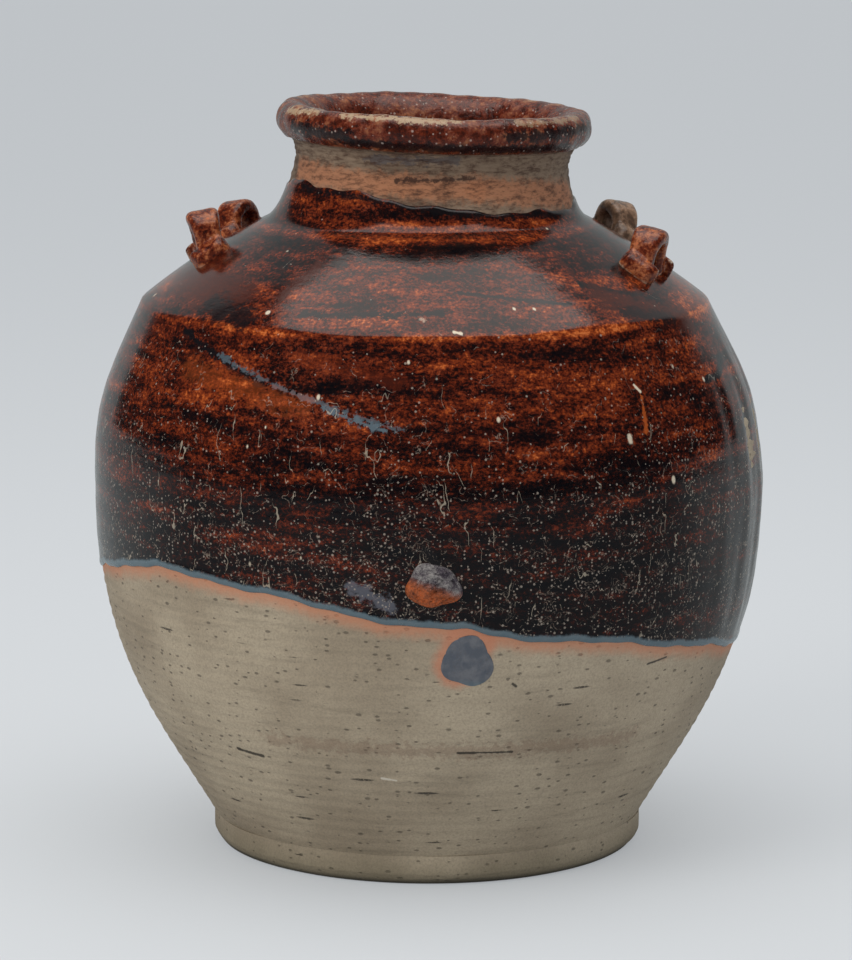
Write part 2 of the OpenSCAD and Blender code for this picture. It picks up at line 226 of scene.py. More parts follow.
def edge_height(turn: Array) -> Array:
    """Finds the glaze's lower edge: the table, smoothed, with small waves and one drip.

    Args:
        turn: Azimuths in radians.

    Returns:
        Heights in mm.
    """
    degrees = np.degrees(turn)
    height = np.interp(degrees, *LOW_EDGE.T)
    for shift in (-9.0, -5.0, 5.0, 9.0):
        height = height + np.interp((degrees + shift + 180) % 360 - 180, *LOW_EDGE.T)
    waves = 0.7 * np.sin(13 * turn + 0.6) + 0.45 * np.sin(29 * turn + 2.0) + 0.25 * np.sin(61 * turn)
    return height / 5 + waves + 2.6 * bell(degrees, 6.0, 2.6)


def hand_made(profile: Array, turn: Array) -> Array:
    """Gives a true turned form the leaning and unevenness of the hand-made jar.

    Args:
        profile: Radius and height of each point in mm.
        turn: Azimuths in radians, from the front, positive to the right.

    Returns:
        Points in metres.
    """
    radius, height = profile.T
    ripple = 0.35 * np.sin(2 * turn + 0.02 * height) + 0.25 * np.sin(3 * turn - 0.013 * height + 1.0)
    radius = radius + ripple * np.clip(radius / 100, 0, 1)
    across = radius * np.sin(turn)
    deep = -radius * np.cos(turn)
    tip = np.clip((height - 318) / 32, 0, 1)
    tip = tip * tip * (3 - 2 * tip)
    tipped = height - across * math.tan(math.radians(RIM_TILT)) * tip
    return np.stack([across + np.interp(height, *LEAN.T), deep, tipped], axis=-1) * MM


class Bench:
    """Operators that are used on every piece."""

    @staticmethod
    def clear() -> None:
        """Deselects everything, because the loaded nodes come selected."""
        bpy.ops.object.select_all(action="DESELECT")
        bpy.context.view_layer.objects.active = None

    @staticmethod
    def start(name: str, operator: Callable[..., set[str]], **settings: object) -> Object:
        """Adds an object with one of Blender's operators.

        Args:
            name: The object's name.
            operator: What adds it.
            settings: The operator's settings.

        Returns:
            The object.
        """
        Bench.clear()
        operator(**settings)
        piece = bpy.context.object
        piece.name = piece.data.name = name
        return piece

    @staticmethod
    def clean(piece: Object) -> None:
        """Merges doubles, points the faces outwards and shades them smooth.

        Args:
            piece: The piece, which is left as the only selected one.
        """
        Bench.clear()
        piece.select_set(True)
        bpy.context.view_layer.objects.active = piece
        bpy.ops.object.mode_set(mode="EDIT")
        bpy.ops.mesh.select_all(action="SELECT")
        bpy.ops.mesh.remove_doubles(threshold=1e-6)
        bpy.ops.mesh.normals_make_consistent(inside=False)
        bpy.ops.object.mode_set(mode="OBJECT")
        bpy.ops.object.shade_smooth_by_angle(angle=SMOOTH_ANGLE)

    @staticmethod
    def points(piece: Object, what: str = "co") -> Array:
        """Reads a value of the piece's points.

        Args:
            piece: The piece.
            what: Its points in metres (co) or their directions (normal).

        Returns:
            One row of three for each point.
        """
        flat = np.empty(len(piece.data.vertices) * 3)
        piece.data.vertices.foreach_get(what, flat)
        return flat.reshape(-1, 3)

    @staticmethod
    def set_points(piece: Object, points: Array) -> None:
        """Moves the piece's points."""
        piece.data.vertices.foreach_set("co", np.ascontiguousarray(points, float).ravel())
        piece.data.update()

    @staticmethod
    def finish(piece: Object, nodes: Sequence[str], slot: Finish, look: Material) -> None:
        """Gives the piece its height above the glaze's edge, its material, body and nodes.

        Args:
            piece: The piece.
            nodes: The nodes that it stands for.
            slot: Not used.
            look: Its material.
        """
        points = Bench.points(piece)
        above = points[:, 2] / MM - edge_height(np.arctan2(points[:, 0], -points[:, 1]))
        layer = piece.data.attributes.new("above_edge", "FLOAT", "POINT")
        layer.data.foreach_set("value", above)
        piece.data.materials.clear()
        piece.data.materials.append(look)
        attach(piece, "root")
        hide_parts(*nodes)
        log.info("%s: %d faces", piece.name, len(piece.data.polygons))


@dataclass(frozen=True)
class Ring:
    """Where the points of a turned piece are before they get their radius and height."""

    inner: Array
    share: Array
    turn: Array

    def choose(self, outer: Array, inner: Array) -> Array:
        """Takes the points of the outer side from one profile and the others from the other."""
        return np.where(self.inner[:, None], inner, outer)


@dataclass
class Turned:
    """A closed ring round the jar's axis, with an outer and an inner side."""

    node: str = ""
    rows: int = 40
    inner_rows: int = 20
    columns: int = 256
    slot: Finish = Finish.CLAY
    ending: str = "turned"

    def shape(self, ring: Ring) -> Array:
        """Places the points.

        Args:
            ring: Their sides, shares along the side and azimuths.

        Returns:
            Radii and heights in mm.
        """
        raise NotImplementedError

    def build(self, look: Material) -> None:
        """Spins a closed strip round the axis, then gives every point its radius and height.

        Args:
            look: The piece's material.
        """
        piece = Bench.start(f"{self.node}_{self.ending}", bpy.ops.mesh.primitive_plane_add, size=1.0)
        strip = [(1.0, 0.0, float(row)) for row in range(self.rows)]
        strip += [(0.5, 0.0, float(row)) for row in reversed(range(self.inner_rows))]
        piece.data.clear_geometry()
        piece.data.from_pydata(strip, [(k, (k + 1) % len(strip)) for k in range(len(strip))], [])
        bpy.ops.object.mode_set(mode="EDIT")
        bpy.ops.mesh.select_all(action="SELECT")
        bpy.ops.mesh.spin(steps=self.columns, angle=math.tau, center=(0, 0, 0), axis=(0, 0, 1))
        bpy.ops.mesh.remove_doubles(threshold=1e-4)
        bpy.ops.object.mode_set(mode="OBJECT")
        points = Bench.points(piece)
        inner = np.hypot(points[:, 0], points[:, 1]) < 0.75
        share = np.rint(points[:, 2]) / (np.where(inner, self.inner_rows, self.rows) - 1)
        ring = Ring(inner, share, np.arctan2(points[:, 0], -points[:, 1]))
        Bench.set_points(piece, hand_made(self.shape(ring), ring.turn))
        Bench.clean(piece)
        Bench.finish(piece, [self.node], self.slot, look)


@dataclass
class ClaySection(Turned):
    """One section of the wall, between two seams."""

    low: float = 0.0
    high: float = 1.0
    lute_low: float = LUTE
    lute_high: float = LUTE

    def shape(self, ring: Ring) -> Array:
        """Places the outer face, with the potter's turning marks, and the inner one.

        Args:
            ring: Where the points are.

        Returns:
            Radii and heights in mm.
        """
        place = self.low + (self.high - self.low) * ring.share
        height = OUTER.at(place)[:, 1]
        fade = np.sin(np.pi * np.clip(ring.share, 0, 1)) ** 0.3
        marks = 0.18 * np.sin(height * 1.1 + 0.8 * np.sin(ring.turn)) + 0.12 * np.sin(height * 2.7)
        start = self.low + self.lute_low
        inside = INNER.at(start + (self.high + self.lute_high - start) * ring.share)
        return ring.choose(OUTER.off(place, marks * fade), inside)


@dataclass
class Foot(Turned):
    """The slab that the jar stands on: a band with a bevel, a standing ring and a shallow hollow."""

    node: str = "base_disc"
    rows: int = 46
    inner_rows: int = 30
    radius: float = 107.3
    height: float = 15.0
    bevel: float = 4.5
    hollow: float = 2.2
    ring_width: float = 13.0
    floor: float = 10.5
    floor_radius: float = 94.3

    def shape(self, ring: Ring) -> Array:
        """Places the underside and band on the outer rows, and the floor on the inner ones.

        Args:
            ring: Where the points are.

        Returns:
            Radii and heights in mm.
        """
        seat = self.radius - self.bevel
        hole = seat - self.ring_width
        radii = [0, hole - 2.2, hole - 0.6, hole + 0.6, seat - 0.8]
        radii += [seat + 1.2, self.radius - 1.1, self.radius - 0.1, self.radius, self.radius]
        heights = [self.hollow, self.hollow, 0.5, 0.0, 0.0, 0.7, 3.6, 5.6, 10.0, self.height]
        stops = np.linspace(0, 1, len(radii))
        out = np.interp(ring.share, stops, radii)
        up = np.interp(ring.share, stops, heights)
        uneven = 0.35 * np.sin(5 * ring.turn + 0.7) + 0.25 * np.sin(11 * ring.turn)
        out = out + np.where(up > 2.5, uneven, 0) * (out > 100)
        inside = self.floor_radius * ring.share
        floor = self.floor + (self.height - self.floor) * ring.share**3 + 0.15 * np.sin(inside * 0.7)
        floor = np.where(ring.share > 0.999, self.height, floor)
        return ring.choose(np.stack([out, up], axis=-1), np.stack([inside, floor], axis=-1))


@dataclass
class RimRoll(Turned):
    """The heavy rolled rim, a closed ring on the neck."""

    node: str = "rim_roll"
    rows: int = 60
    inner_rows: int = 8
    columns: int = 240
    seat_height: float = 349.9
    seat_radius: float = 70.0
    throat: float = 58.5

    def shape(self, ring: Ring) -> Array:
        """Places the roll's face and its flat seat.

        Args:
            ring: Where the points are.

        Returns:
            Radii and heights in mm.
        """
        roll = OUTER.at(Place.NECK_TOP.value + (Place.THROAT_TOP.value - Place.NECK_TOP.value) * ring.share)
        across = self.seat_radius - (self.seat_radius - self.throat) * ring.share
        return ring.choose(roll, np.stack([across, np.full_like(across, self.seat_height)], axis=-1))


def coat_thickness(from_edge: Array) -> Array:
    """Returns the glaze's thickness in mm, rounded at its edge and gathered in a bead behind it."""
    rounded = np.sqrt(np.clip(1 - (1 - np.clip(from_edge / 1.3, 0, 1)) ** 2, 0, 1))
    return rounded * (GLAZE + 0.45 * bell(from_edge, 2.4, 1.6))


@dataclass
class BodyGlaze(Turned):
    """The coat from the slanting edge on the belly up to the ragged edge on the neck."""

    node: str = "body_glaze"
    rows: int = 176
    inner_rows: int = 44
    columns: int = 400
    slot: Finish = Finish.BODY
    ending: str = "coat"
    edge_rows: int = 12
    edge_reach: float = 5.0
    sunk: float = 0.35

    def top(self, turn: Array) -> Array:
        """Finds the upper edge on the neck.

        Args:
            turn: Azimuths in radians.

        Returns:
            Place numbers.
        """
        neck = np.linspace(Place.NECK_ROOT.value, Place.WAIST.value, 200)
        height = np.interp(np.degrees(turn), *TOP_EDGE.T)
        height = height + 0.8 * np.sin(9 * turn) + 0.5 * np.sin(23 * turn + 1)
        return np.interp(height, OUTER.at(neck)[:, 1], neck)

    def waves(self, height: Array, length: Array, turn: Array) -> Array:
        """Raises throwing ridges, side ripples, slumps, a hollow and the long groove.

        Args:
            height: Heights on the wall in mm.
            length: Lengths along the wall in mm.
            turn: Azimuths in radians.

        Returns:
            What they add to the coat in mm.
        """
        degrees = np.degrees(turn)
        ridges = 0.05 * np.sin(length * 0.42 + 1.1 * np.sin(turn + 0.4))
        ridges = ridges + 0.02 * np.sin(length * 1.3 + 2 * turn)
        belly = np.clip((262 - height) / 30, 0, 1) * np.clip((height - 108) / 20, 0, 1)
        side = bell(degrees, 80, 19) + 0.12 * bell(degrees, -84, 15)
        ripple = np.sin(degrees * 0.6 + 0.022 * height) + 0.35 * np.sin(degrees * 1.3 - 0.04 * height)
        hollow = -0.9 * bell(height, 205, 16) * bell(degrees, 82, 16)
        grooved = (degrees > -56) & (degrees < -2)
        groove = -0.35 * bell(height, 268 - (degrees + 53.5) * 0.75, 1.7) * grooved
        slump = 0.2 * np.sin(3 * turn + 0.05 * height) * np.sin(0.045 * height)
        return (ridges + groove) * belly + 0.45 * side * ripple * belly + hollow + slump * belly

    def shape(self, ring: Ring) -> Array:
        """Places the coat's face, with close rows at its edge, and its back on the clay.

        Args:
            ring: Where the points are.

        Returns:
            Radii and heights in mm.
        """
        start = OUTER.length_at(OUTER.place_at_height(edge_height(ring.turn)))
        stop = OUTER.length_at(self.top(ring.turn))
        fine = self.edge_rows / (self.rows - 1)
        early = np.clip(ring.share / fine, 0, 1) ** 1.6 * self.edge_reach
        late = np.clip((ring.share - fine) / (1 - fine), 0, 1)
        along = np.where(ring.share < fine, early, self.edge_reach + late * (stop - start - self.edge_reach))
        along = np.where(ring.inner, ring.share * (stop - start), along)
        length = start + along
        place = OUTER.place_at(length)
        thick = coat_thickness(along) * np.minimum(1, coat_thickness((stop - length) * 1.4) / GLAZE)
        waves = self.waves(OUTER.at(place)[:, 1], length, ring.turn)
        thick = thick + waves * np.clip(along / 6, 0, 1)
        return OUTER.off(place, np.where(ring.inner, -self.sunk, thick))


@dataclass
class RimGlaze(Turned):
    """The coat over the rolled rim and into the mouth."""

    node: str = "rim_glaze"
    rows: int = 84
    inner_rows: int = 40
    columns: int = 320
    slot: Finish = Finish.RIM
    ending: str = "coat"
    low: float = 5.12
    high: float = 7.9
    sunk: float = 0.3

    def shape(self, ring: Ring) -> Array:
        """Places the coat's face, uneven and worn thin on the crest, and its back.

        Args:
            ring: Where the points are.

        Returns:
            Radii and heights in mm.
        """
        turn = ring.turn
        place = self.low + (self.high - self.low) * ring.share
        ends = np.minimum(1, np.sin(np.pi * ring.share) * 6)
        uneven = 0.3 * np.sin(7 * turn + 5 * ring.share) + 0.25 * np.sin(13 * turn + 9 * ring.share)
        uneven = uneven + 0.2 * np.sin(31 * turn)
        dents = 0.9 * np.clip(np.sin(4 * turn + 1.2) * np.sin(9 * turn), 0, 1)
        dents = dents * bell(place, Place.CREST.value, 0.3)
        return OUTER.off(place, np.where(ring.inner, -self.sunk, GLAZE * (1 + uneven - dents) * ends))


@dataclass
class Blob:
    """A flat or lumpy drop of glaze or clay that sits on the wall."""

    node: str
    name: str
    azimuth: float
    height: float
    half_sizes: Triple
    lobes: Sequence[tuple[int, float, float]]
    rough: float
    slot: Finish
    lift: float = 0.0

    def build(self, look: Material) -> None:
        """Adds a ball, flattens it on to the wall and makes it uneven.

        Args:
            look: The piece's material.
        """
        piece = Bench.start(self.name, bpy.ops.mesh.primitive_ico_sphere_add, subdivisions=6, radius=1.0)
        ball = Bench.points(piece)
        wide, high, thick = self.half_sizes
        angle = np.arctan2(ball[:, 2], ball[:, 0])
        reach = np.ones(len(ball))
        for count, share, phase in self.lobes:
            reach = reach + share * np.cos(count * angle + phase)
        grain = np.array([lumps.fractal(Vector(p) * 2.2, 0.7, 2.1, 5) for p in ball])
        out = thick * np.clip(-ball[:, 1], 0, 1) ** 0.75 * (1 + self.rough * grain)
        out = np.where(ball[:, 1] > 0, -0.4 * ball[:, 1], out) + self.lift
        profile = OUTER.off(OUTER.place_at_height(self.height + ball[:, 2] * reach * high), out)
        turn = np.radians(self.azimuth) + ball[:, 0] * reach * wide / profile[:, 0]
        Bench.set_points(piece, hand_made(profile, turn))
        Bench.clean(piece)
        Bench.finish(piece, [self.node], self.slot, look)


@dataclass
class Lug:
    """A strap lug with its two wads, pressed together into one softened form."""

    name: str
    seed: float
    voxel: float = 0.00075

    def build(self, look: Material) -> None:
        """Copies the strap and wads, melts them together and gives them the potter's touch.

        Args:
            look: The lug's material.
        """
        nodes = [f"{self.name}_lug_{part}" for part in ("strap", "front_wad", "rear_wad")]
        copies = [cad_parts[node].copy() for node in nodes]
        Bench.clear()
        for copy in copies:
            copy.data = copy.data.copy()
            for key in list(copy.keys()):
                del copy[key]
            bpy.context.scene.collection.objects.link(copy)
            copy.hide_render = False
            copy.hide_set(False)
            copy.select_set(True)
        bpy.context.view_layer.objects.active = copies[0]
        bpy.ops.object.join()
        piece = bpy.context.object
        piece.name = piece.data.name = f"{self.name}_lug_pressed"
        Bench.clean(piece)
        remesh = piece.modifiers.new("melt", "REMESH")
        remesh.mode = "VOXEL"
        remesh.voxel_size = self.voxel
        bpy.ops.object.modifier_apply(modifier=remesh.name)
        smooth = piece.modifiers.new("soften", "SMOOTH")
        smooth.factor = 0.5
        smooth.iterations = 14
        bpy.ops.object.modifier_apply(modifier=smooth.name)
        self.touch(piece)
        Bench.clean(piece)
        Bench.finish(piece, nodes, Finish.LUG, look)

    def touch(self, piece: Object) -> None:
        """Swells the form by the glaze's thickness and adds finger dents and small lumps.

        Args:
            piece: The melted lug.
        """
        points = Bench.points(piece)
        shift = Vector((self.seed, 2 * self.seed, 0.3))
        dents = np.array([lumps.noise(Vector(p) * 130 + shift) for p in points])
        fine = np.array([lumps.fractal(Vector(p) * 420 + shift, 0.6, 2.0, 4) for p in points])
        swell = 0.45 + 0.25 * dents + 0.08 * fine
        Bench.set_points(piece, points + Bench.points(piece, "normal") * swell[:, None] * MM)


class Wiring:
    """A node tree, and short calls that wire it."""

    def __init__(self, tree: Tree) -> None:
        """Keeps the tree."""
        self.tree = tree

    def feed(self, socket: Socket, value: Input) -> None:
        """Links or sets a socket.

        Args:
            socket: An input of a node.
            value: The output or the value that it gets.
        """
        if isinstance(value, bpy.types.NodeSocket):
            self.tree.links.new(value, socket)
        elif socket.type == "RGBA" and len(value) == 3:
            socket.default_value = (*value, 1.0)
        else:
            socket.default_value = value

    def add(
        self, kind: str, feeds: Optional[dict[Union[int, str], Input]] = None, **settings: object
    ) -> Sequence[Socket]:
        """Adds a node, sets it up and wires it.

        Args:
            kind: The node's type, without its prefix.
            feeds: What its inputs get, by their names or numbers.
            settings: Its properties.

        Returns:
            Its outputs.
        """
        node = self.tree.nodes.new(f"ShaderNode{kind}")
        for key, value in settings.items():
            setattr(node, key, value)
        for name, value in (feeds or {}).items():
            self.feed(node.inputs[name], value)
        return node.outputs

    def use(self, group: Tree, **values: Input) -> Sequence[Socket]:
        """Places a node group and returns its outputs."""
        feeds = {name.replace("_", " ").capitalize(): value for name, value in values.items()}
        return self.add("Group", feeds, node_tree=group)

    def reckon(self, operation: str, *values: Input, clamp: bool = False) -> Socket:
        """Adds a Math node."""
        return self.add("Math", dict(enumerate(values)), operation=operation, use_clamp=clamp)[0]

    def times(self, value: Input, factor: Input) -> Socket:
        """Multiplies two values."""
        return self.reckon("MULTIPLY", value, factor)

    def plus(self, value: Input, more: Input) -> Socket:
        """Adds two values."""
        return self.reckon("ADD", value, more)

    def minus(self, value: Input, less: Input) -> Socket:
        """Takes one value from another."""
        return self.reckon("SUBTRACT", value, less)

    def raised(self, base: Input, value: Input, factor: float, clamp: bool = False) -> Socket:
        """Adds a value times a factor to a base."""
        return self.reckon("MULTIPLY_ADD", value, factor, base, clamp=clamp)

    def weigh(self, one: Input, one_factor: float, other: Input, other_factor: float) -> Socket:
        """Adds two values by their weights."""
        return self.plus(self.times(one, one_factor), self.times(other, other_factor))

    def blend(self, share: Input, low: Input, high: Input) -> Socket:
        """Mixes two colours."""
        return self.add("Mix", {0: share, 6: low, 7: high}, data_type="RGBA", clamp_factor=True)[2]

    def between(
        self, value: Input, low: Input, high: Input, start: float = 0.0, stop: float = 1.0
    ) -> Socket:
        """Maps a value smoothly from low..high to start..stop."""
        feeds = dict(enumerate((value, low, high, start, stop)))
        return self.add("MapRange", feeds, interpolation_type="SMOOTHSTEP", clamp=True)[0]

    def stretched(self, where: Input, scale: Sequence[float], turn: Sequence[float] = (0, 0, 0)) -> Socket:
        """Scales and turns a position."""
        return self.add("Mapping", {"Vector": where, "Rotation": turn, "Scale": scale})[0]

    def ramp(self, value: Input, stops: Sequence[tuple[float, Triple]]) -> Socket:
        """Adds a colour ramp.

        Args:
            value: What it reads.
            stops: Places from 0 to 1 and their colours.

        Returns:
            The colour.
        """
        colour = self.add("ValToRGB", {0: value})[0]
        band = colour.node.color_ramp.elements
        while len(band) < len(stops):
            band.new(0.5)
        for element, (place, paint) in zip(band, stops):
            element.position = place
            element.color = (*paint, 1.0)
        return colour

    def curve(self, value: Input, stops: Sequence[tuple[float, float]]) -> Socket:
        """Reads a table.

        Args:
            value: What it reads.
            stops: Values and what comes out at each.

        Returns:
            What comes out.
        """
        low = stops[0][0]
        size = stops[-1][0] - low
        share = self.reckon("DIVIDE", self.minus(value, low), size, clamp=True)
        return self.ramp(share, [((at - low) / size, (level, level, level)) for at, level in stops])

    def grains(
        self, cells: Sequence[Socket], size: Input, share: Input, least: float, core: float
    ) -> Socket:
        """Puts a grain in some cells of a Voronoi texture.

        Args:
            cells: The texture's outputs.
            size: The grains' size, as a share of the cell.
            share: How many cells hold one.
            least: What keeps the smallest grain from vanishing.
            core: Share of a grain that is solid.

        Returns:
            Their mask.
        """
        red, green = self.add("SeparateColor", {0: cells["Color"]})[:2]
        held = self.reckon("LESS_THAN", red, share)
        size = self.times(size, self.plus(green, least))
        return self.times(self.between(cells["Distance"], self.times(size, core), size, 1.0, 0.0), held)


def new_group(
    name: str, inputs: Sequence[str], outputs: Sequence[str] = ("Mask",)
) -> tuple[Wiring, list[Socket], Sequence[Socket]]:
    """Starts a node group.

    Args:
        name: The group's name.
        inputs: Names of its inputs. Position is a vector and the others are values.
        outputs: Names of its outputs, all values.

    Returns:
        The wiring, what the inputs put out and what the outputs take.
    """
    tree = bpy.data.node_groups.new(name, "ShaderNodeTree")
    for label in inputs:
        kind = "Vector" if label == "Position" else "Float"
        tree.interface.new_socket(name=label, in_out="INPUT", socket_type=f"NodeSocket{kind}")
    for label in outputs:
        tree.interface.new_socket(name=label, in_out="OUTPUT", socket_type="NodeSocketFloat")
    given = tree.nodes.new("NodeGroupInput").outputs[: len(inputs)]
    return Wiring(tree), given, tree.nodes.new("NodeGroupOutput").inputs


class Effects:
    """Node groups that more than one material uses."""

    def __init__(self) -> None:
        """Builds every group once."""
        self.place = self.make_place()
        self.mark = self.make_mark()
        self.specks = self.make_specks()
        self.scratches = self.make_scratches()

    def make_place(self) -> Tree:
        """Finds azimuth in degrees and height in mm of a position.

        Returns:
            The group.
        """
        w, (position,), out = new_group("jar place", ["Position"], ["Azimuth", "Height"])
        x, y, z = w.add("SeparateXYZ", {0: position})
        w.feed(out[0], w.reckon("DEGREES", w.reckon("ARCTAN2", x, w.times(y, -1.0))))
        w.feed(out[1], w.times(z, 1000.0))
        return w.tree

    def make_mark(self) -> Tree:
        """Masks a ragged streak between two places. Span is in mm of wall per degree.

        Returns:
            The group.
        """
        names = ["Azimuth", "Height", "Span", "Start azimuth", "Start height", "Stop azimuth", "Stop height"]
        w, given, out = new_group("mark", [*names, "Width", "Ragged", "Noise"])
        azimuth, height, span, *ends, width, ragged, noise = given
        start_azimuth, start_height, stop_azimuth, stop_height = ends
        ux = w.times(w.minus(azimuth, start_azimuth), span)
        uy = w.minus(height, start_height)
        vx = w.times(w.minus(stop_azimuth, start_azimuth), span)
        vy = w.minus(stop_height, start_height)
        dot = w.plus(w.times(ux, vx), w.times(uy, vy))
        size = w.plus(w.plus(w.times(vx, vx), w.times(vy, vy)), 0.0001)
        share = w.reckon("DIVIDE", dot, size, clamp=True)
        dx = w.minus(ux, w.times(vx, share))
        dy = w.minus(uy, w.times(vy, share))
        far = w.reckon("SQRT", w.plus(w.times(dx, dx), w.times(dy, dy)))
        far = w.plus(far, w.times(w.minus(noise, 0.5), w.times(ragged, 2.2)))
        w.feed(out[0], w.between(far, w.times(width, 0.35), width, 1.0, 0.0))
        return w.tree

    def make_specks(self) -> Tree:
        """Masks small grains. Size is a share of the cell, and share is how many cells hold one.

        Returns:
            The group.
        """
        w, (position, scale, size, share), out = new_group("specks", ["Position", "Scale", "Size", "Share"])
        cells = w.add("TexVoronoi", {"Vector": position, "Scale": scale}, feature="F1")
        w.feed(out[0], w.grains(cells, size, share, 0.35, 0.5))
        return w.tree

    def make_scratches(self) -> Tree:
        """Masks short fine scratches in several directions, on the wall rolled out flat.

        Returns:
            The group.
        """
        w, (position, share, width), out = new_group("scratches", ["Position", "Share", "Width"])
        place = w.use(self.place, position=position)
        flat = w.add("CombineXYZ", {0: w.times(place[0], 2.8), 1: place[1]})[0]
        wobble = w.add("TexNoise", {"Vector": flat, "Scale": 0.16}, noise_dimensions="2D")["Color"]
        bent = w.add("VectorMath", {0: wobble, 1: (9.0, 9.0, 0.0), 2: flat}, operation="MULTIPLY_ADD")[0]
        lines = []
        for turn, long in ((0.1, 20.0), (0.62, 15.0), (1.15, 18.0), (1.66, 14.0), (2.2, 19.0), (2.74, 15.0)):
            where = w.stretched(bent, (1, 1, 1), (0, 0, turn))
            feeds = {"Vector": w.stretched(where, (1 / long, 1 / 1.5, 1.0)), "Scale": 1.0}
            cells = w.add("TexVoronoi", feeds, feature="F1", voronoi_dimensions="2D")
            lines.append(w.grains(cells, width, share, 0.3, 0.4))
        w.feed(out[0], reduce(lambda one, other: w.reckon("MAXIMUM", one, other), lines))
        return w.tree


@dataclass(frozen=True)
class Mark:
    """A streak, patch or pit on the wall, from one azimuth in degrees and height in mm to another."""

    start_azimuth: float
    start_height: float
    stop_azimuth: float
    stop_height: float
    width: float
    ragged: float
    colour: Triple
    share: float = 1.0


BLACK = (0.006, 0.005, 0.006)
DARK_RED = (0.045, 0.008, 0.004)
RED_BROWN = (0.12, 0.018, 0.006)
ORANGE = (0.46, 0.095, 0.018)
CREAM = (0.58, 0.5, 0.38)
WORN = (0.36, 0.25, 0.15)
SLATE = (0.085, 0.115, 0.135)
PIT = (0.03, 0.026, 0.02)
BURNT = (0.4, 0.16, 0.075)
FLASH = (0.46, 0.18, 0.1)
BELLY_MARKS = (
    Mark(-63, 332, -24, 329, 2.2, 6, BLACK, 0.9),
    Mark(-24, 329, 16, 321.5, 2, 6, BLACK, 0.9),
    Mark(16, 321.5, 60, 318.5, 1.6, 6, BLACK, 0.85),
    Mark(-53.5, 268, -30, 249, 2.2, 6, BLACK),
    Mark(-42, 259.5, -4.5, 231.4, 1.2, 5.5, SLATE, 0.6),
    Mark(-18, 240, -7, 231, 1.6, 5, SLATE, 0.9),
    Mark(60, 242.5, 66, 243, 2.6, 3, BLACK),
    Mark(66, 243, 71.5, 250, 3.4, 2, BLACK),
    Mark(-48, 252, -22, 240, 7, 12, ORANGE, 0.16),
    Mark(-24, 262, -5, 252, 5, 9, RED_BROWN, 0.3),
    Mark(40, 246.3, 41, 243, 0.9, 0.6, CREAM),
    Mark(41, 241, 40, 224, 1.2, 2.4, ORANGE, 0.6),
    Mark(36.3, 224.2, 36.4, 221.5, 1.5, 1, CREAM, 0.9),
    Mark(0, 176, 2.5, 166, 3.2, 3, BLACK),
    Mark(-6, 150, -12, 158, 4.5, 7, (0.12, 0.125, 0.15), 0.6),
    Mark(-34, 286, -30, 298, 5, 8, DARK_RED),
    Mark(-80, 292, -44, 283, 11, 12, DARK_RED, 0.9),
    Mark(-52, 280, -38, 276, 6, 9, BLACK, 0.9),
    Mark(-26.5, 280, 3.5, 281.6, 1.8, 4, BLACK),
    Mark(-1, 280, -0.5, 279.6, 1.5, 4, CREAM, 0.4),
    Mark(7.5, 290.2, 33, 283, 1, 1.5, BLACK),
    Mark(40, 305.9, 39.5, 290.2, 2, 5, DARK_RED),
    Mark(39.5, 290.4, 60, 280, 1.8, 3, BLACK),
    Mark(42, 284, 63, 270, 8, 12, DARK_RED, 0.9),
    Mark(45, 278, 58, 272, 4, 8, BLACK, 0.8),
    Mark(5.4, 274.2, 6.8, 273.7, 0.9, 1, CREAM),
    Mark(19, 282.9, 19.2, 282.7, 0.8, 0.5, CREAM),
    Mark(23.5, 282.5, 23.7, 282.3, 0.8, 0.5, CREAM),
)
RIM_MARKS = (
    Mark(-70, 365, -48, 366.8, 1.7, 6, WORN, 0.8),
    Mark(-34, 367, 12, 367.2, 1.5, 5.5, WORN, 0.85),
    Mark(-60, 358, -30, 357, 5, 8, BLACK, 0.9),
    Mark(30, 360, 80, 362, 4, 8, BLACK, 0.85),
    Mark(34, 366.5, 70, 367, 1.4, 5, WORN, 0.5),
    Mark(-30, 354.5, 60, 354, 3.2, 3, BLACK, 0.9),
)
CLAY_MARKS = (
    Mark(-31, 77, 44, 74, 4.5, 12, (0.17, 0.1, 0.065), 0.35),
    Mark(-41, 67.5, -34.5, 66, 1.1, 0.8, PIT, 0.9),
    Mark(6, 74.5, 16.5, 73.8, 0.8, 0.9, PIT, 0.9),
    Mark(42, 112, 46.5, 113.6, 0.8, 0.6, (0.04, 0.035, 0.03), 0.9),
    Mark(15, 110, 15.6, 108.6, 0.9, 0.5, PIT, 0.9),
    Mark(-9, 60, -6, 59, 0.8, 0.6, (0.55, 0.5, 0.42), 0.8),
)
NECK_MARKS = (
    Mark(-70, 339, 20, 333, 8, 6, BURNT, 0.8),
    Mark(20, 333, 75, 326, 9, 6, BURNT, 0.8),
    Mark(-12, 337.7, 20, 338.3, 1.5, 4, BLACK, 0.8),
    Mark(-25, 348, 12, 347.5, 2.6, 6, (0.05, 0.055, 0.07), 0.6),
)
HALO = Mark(5.5, 121, 7.5, 132, 17, 2.5, FLASH)


